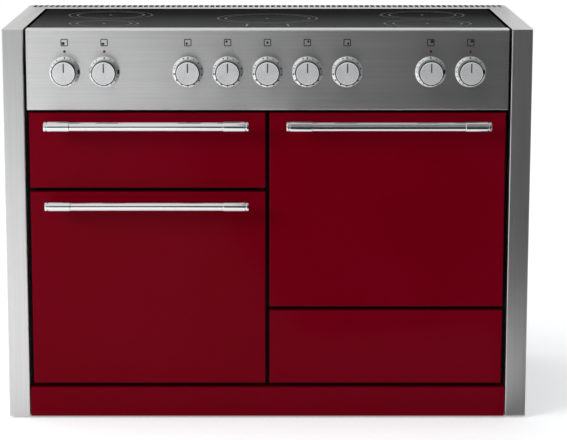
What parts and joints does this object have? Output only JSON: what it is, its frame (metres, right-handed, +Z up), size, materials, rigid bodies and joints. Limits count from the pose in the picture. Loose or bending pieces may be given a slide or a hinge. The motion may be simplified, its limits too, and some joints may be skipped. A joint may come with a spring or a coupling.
{
  "type": "induction range",
  "caption": "Wide freestanding induction range: steel sides and fascia, black glass hob, red enamelled drop-down oven and grill doors, bar handles, knobs and a drawer.",
  "frame": {"origin": "on the floor, under the middle of the whole outline, handles included", "axes": "+X to the right as seen from the front, the front faces -Y, +Z up"},
  "size_m": [1.2, 0.67, 0.9075],
  "materials": {
    "brushed_steel": "horizontally brushed stainless steel",
    "knob_steel": "spun stainless steel",
    "red_enamel": "glossy dark red vitreous enamel",
    "dark_enamel": "dark speckled vitreous enamel",
    "black_enamel": "matt black vitreous enamel",
    "chrome": "polished chrome",
    "black_glass": "polished black glass-ceramic",
    "silicone": "matt black silicone",
    "zinc_steel": "zinc-coated sheet steel",
    "drawer_steel": "satin grey paint",
    "aluminium": "mill finish",
    "copper": "lacquered copper litz",
    "circuit": "green board",
    "woven_seal": "woven glass fibre",
    "heater": "dark oxidised sheath",
    "lens_glass": "pressed clear glass",
    "red_lens": "dark red lens",
    "black_plastic": "moulded black plastic"
  },
  "bodies": {
    "range_body": {"side_panel_left": "brushed_steel", "side_panel_right": "brushed_steel", "control_fascia": "brushed_steel", "vent_rail": "brushed_steel", "knob_bezels": "knob_steel", "plinth_panel": "red_enamel", "grill_cavity": "dark_enamel", "oven_cavity_left": "dark_enamel", "oven_cavity_right": "dark_enamel", "grill_pan": "dark_enamel", "fan_covers": "dark_enamel", "oven_shelves": "chrome", "shelf_ladders": "chrome", "grill_rack": "chrome", "hob_glass": "black_glass", "hob_seal": "silicone", "front_frame": "black_enamel", "base_tray": "zinc_steel", "rear_panel": "zinc_steel", "hob_tray": "zinc_steel", "door_hinges": "zinc_steel", "drawer_guides": "zinc_steel", "blower_housing": "zinc_steel", "fan_motors": "zinc_steel", "coil_carrier": "aluminium", "induction_coils": "copper", "power_boards": "circuit", "door_gaskets": "woven_seal", "grill_element": "heater", "ring_elements": "heater", "oven_lamps": "lens_glass", "indicator_lamps": "red_lens", "switch_blocks": "black_plastic", "levelling_feet": "black_plastic", "terminal_box": "black_plastic"},
    "grill_door": {"grill_door_panel": "red_enamel", "grill_door_liner": "dark_enamel", "grill_door_handle": "chrome"},
    "left_door": {"left_door_panel": "red_enamel", "left_door_liner": "dark_enamel", "left_door_handle": "chrome"},
    "right_door": {"right_door_panel": "red_enamel", "right_door_liner": "dark_enamel", "right_door_handle": "chrome"},
    "drawer": {"drawer_front": "red_enamel", "drawer_box": "drawer_steel"},
    "left_oven_fan": {"oven_fan_left": "aluminium"},
    "right_oven_fan": {"oven_fan_right": "aluminium"},
    "cooling_rotor": {"blower_rotor": "aluminium"},
    "left_roller": {"roller_left": "black_plastic"},
    "right_roller": {"roller_right": "black_plastic"},
    "left_outer_knob": {"knob_left_outer": "knob_steel"},
    "left_inner_knob": {"knob_left_inner": "knob_steel"},
    "zone_one_knob": {"knob_zone_one": "knob_steel"},
    "zone_two_knob": {"knob_zone_two": "knob_steel"},
    "zone_three_knob": {"knob_zone_three": "knob_steel"},
    "zone_four_knob": {"knob_zone_four": "knob_steel"},
    "zone_five_knob": {"knob_zone_five": "knob_steel"},
    "right_inner_knob": {"knob_right_inner": "knob_steel"},
    "right_outer_knob": {"knob_right_outer": "knob_steel"}
  },
  "joints": [
    {"name": "grill_door_hinge", "type": "hinge", "parent": "range_body", "child": "grill_door", "pos_m": [-0.27325, -0.25995, 0.554], "axis": [1, 0, 0], "range_deg": [0, 90], "stiffness_Nm_per_rad": 1.2, "springref_deg": -34.38},
    {"name": "left_door_hinge", "type": "hinge", "parent": "range_body", "child": "left_door", "pos_m": [-0.27325, -0.25995, 0.094], "axis": [1, 0, 0], "range_deg": [0, 90], "stiffness_Nm_per_rad": 3, "springref_deg": -34.38},
    {"name": "right_door_hinge", "type": "hinge", "parent": "range_body", "child": "right_door", "pos_m": [0.27325, -0.25995, 0.276], "axis": [1, 0, 0], "range_deg": [0, 90], "stiffness_Nm_per_rad": 3, "springref_deg": -34.38},
    {"name": "drawer_slide", "type": "slide", "parent": "range_body", "child": "drawer", "axis": [0, -1, 0], "range_m": [0, 0.35]},
    {"name": "left_outer_knob_turn", "type": "hinge", "parent": "range_body", "child": "left_outer_knob", "pos_m": [-0.459, -0.27295, 0.811], "axis": [0, 1, 0], "range_deg": [0, 270]},
    {"name": "left_inner_knob_turn", "type": "hinge", "parent": "range_body", "child": "left_inner_knob", "pos_m": [-0.369, -0.27295, 0.811], "axis": [0, 1, 0], "range_deg": [0, 270]},
    {"name": "zone_one_knob_turn", "type": "hinge", "parent": "range_body", "child": "zone_one_knob", "pos_m": [-0.18, -0.27295, 0.811], "axis": [0, 1, 0], "range_deg": [0, 270]},
    {"name": "zone_two_knob_turn", "type": "hinge", "parent": "range_body", "child": "zone_two_knob", "pos_m": [-0.09, -0.27295, 0.811], "axis": [0, 1, 0], "range_deg": [0, 270]},
    {"name": "zone_three_knob_turn", "type": "hinge", "parent": "range_body", "child": "zone_three_knob", "pos_m": [0, -0.27295, 0.811], "axis": [0, 1, 0], "range_deg": [0, 270]},
    {"name": "zone_four_knob_turn", "type": "hinge", "parent": "range_body", "child": "zone_four_knob", "pos_m": [0.09, -0.27295, 0.811], "axis": [0, 1, 0], "range_deg": [0, 270]},
    {"name": "zone_five_knob_turn", "type": "hinge", "parent": "range_body", "child": "zone_five_knob", "pos_m": [0.18, -0.27295, 0.811], "axis": [0, 1, 0], "range_deg": [0, 270]},
    {"name": "right_inner_knob_turn", "type": "hinge", "parent": "range_body", "child": "right_inner_knob", "pos_m": [0.369, -0.27295, 0.811], "axis": [0, 1, 0], "continuous": true},
    {"name": "right_outer_knob_turn", "type": "hinge", "parent": "range_body", "child": "right_outer_knob", "pos_m": [0.459, -0.27295, 0.811], "axis": [0, 1, 0], "range_deg": [0, 270]},
    {"name": "left_oven_fan_spin", "type": "hinge", "parent": "range_body", "child": "left_oven_fan", "pos_m": [-0.27325, 0.19855, 0.312], "axis": [0, 1, 0], "continuous": true},
    {"name": "right_oven_fan_spin", "type": "hinge", "parent": "range_body", "child": "right_oven_fan", "pos_m": [0.27325, 0.19855, 0.494], "axis": [0, 1, 0], "continuous": true},
    {"name": "cooling_rotor_spin", "type": "hinge", "parent": "range_body", "child": "cooling_rotor", "pos_m": [0, 0.29105, 0.8], "axis": [1, 0, 0], "continuous": true},
    {"name": "left_roller_spin", "type": "hinge", "parent": "range_body", "child": "left_roller", "pos_m": [-0.5, 0.26505, 0.018], "axis": [1, 0, 0], "continuous": true},
    {"name": "right_roller_spin", "type": "hinge", "parent": "range_body", "child": "right_roller", "pos_m": [0.5, 0.26505, 0.018], "axis": [1, 0, 0], "continuous": true}
  ]
}
